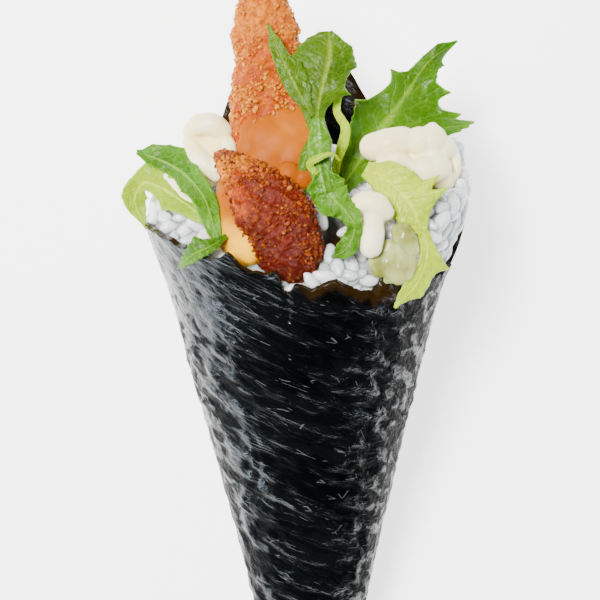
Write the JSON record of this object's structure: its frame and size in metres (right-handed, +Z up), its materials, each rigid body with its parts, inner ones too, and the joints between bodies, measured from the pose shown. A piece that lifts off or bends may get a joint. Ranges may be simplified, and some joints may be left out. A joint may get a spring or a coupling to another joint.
{
  "type": "temaki hand roll",
  "caption": "Seaweed cone filled with rice, fried chicken, lettuce, mayonnaise and orange sauce, lying on its back",
  "frame": {"origin": "middle of the roll's box, on the surface that it lies on", "axes": "+Y from the closed tip to the open mouth, +Z up, towards the full side, +X to the right seen from above"},
  "size_m": [0.0668, 0.158, 0.0519],
  "materials": {
    "seaweed": "crinkled near-black seaweed, glossy where it catches the light",
    "rice": "moist translucent white grains",
    "crust": "craggy golden to red-brown fried crumb",
    "lettuce": "green leaf with a pale midrib and fine veins",
    "pale_lettuce": "yellow-green leaf with pale veins",
    "pale_slice": "wet translucent pale slice",
    "mayonnaise": "glossy ivory cream",
    "orange_sauce": "glossy orange cream sauce with fine red specks"
  },
  "bodies": {
    "root": {"nori_wrap": "seaweed", "rice": "rice", "chicken_strip": "crust", "chicken_front": "crust", "lettuce_centre": "lettuce", "lettuce_right": "lettuce", "lettuce_pale": "pale_lettuce", "lettuce_left_upper": "lettuce", "lettuce_left_lower": "pale_lettuce", "lettuce_left_curl": "lettuce", "lettuce_shred": "pale_lettuce", "lettuce_shred_centre": "lettuce", "slice_upper": "pale_slice", "slice_lower": "pale_slice", "mayo_mid": "mayonnaise", "mayo_right": "mayonnaise", "mayo_left": "mayonnaise", "mayo_side": "mayonnaise", "sauce_upper": "orange_sauce", "sauce_lower": "orange_sauce", "sauce_drop": "orange_sauce"}
  },
  "joints": []
}
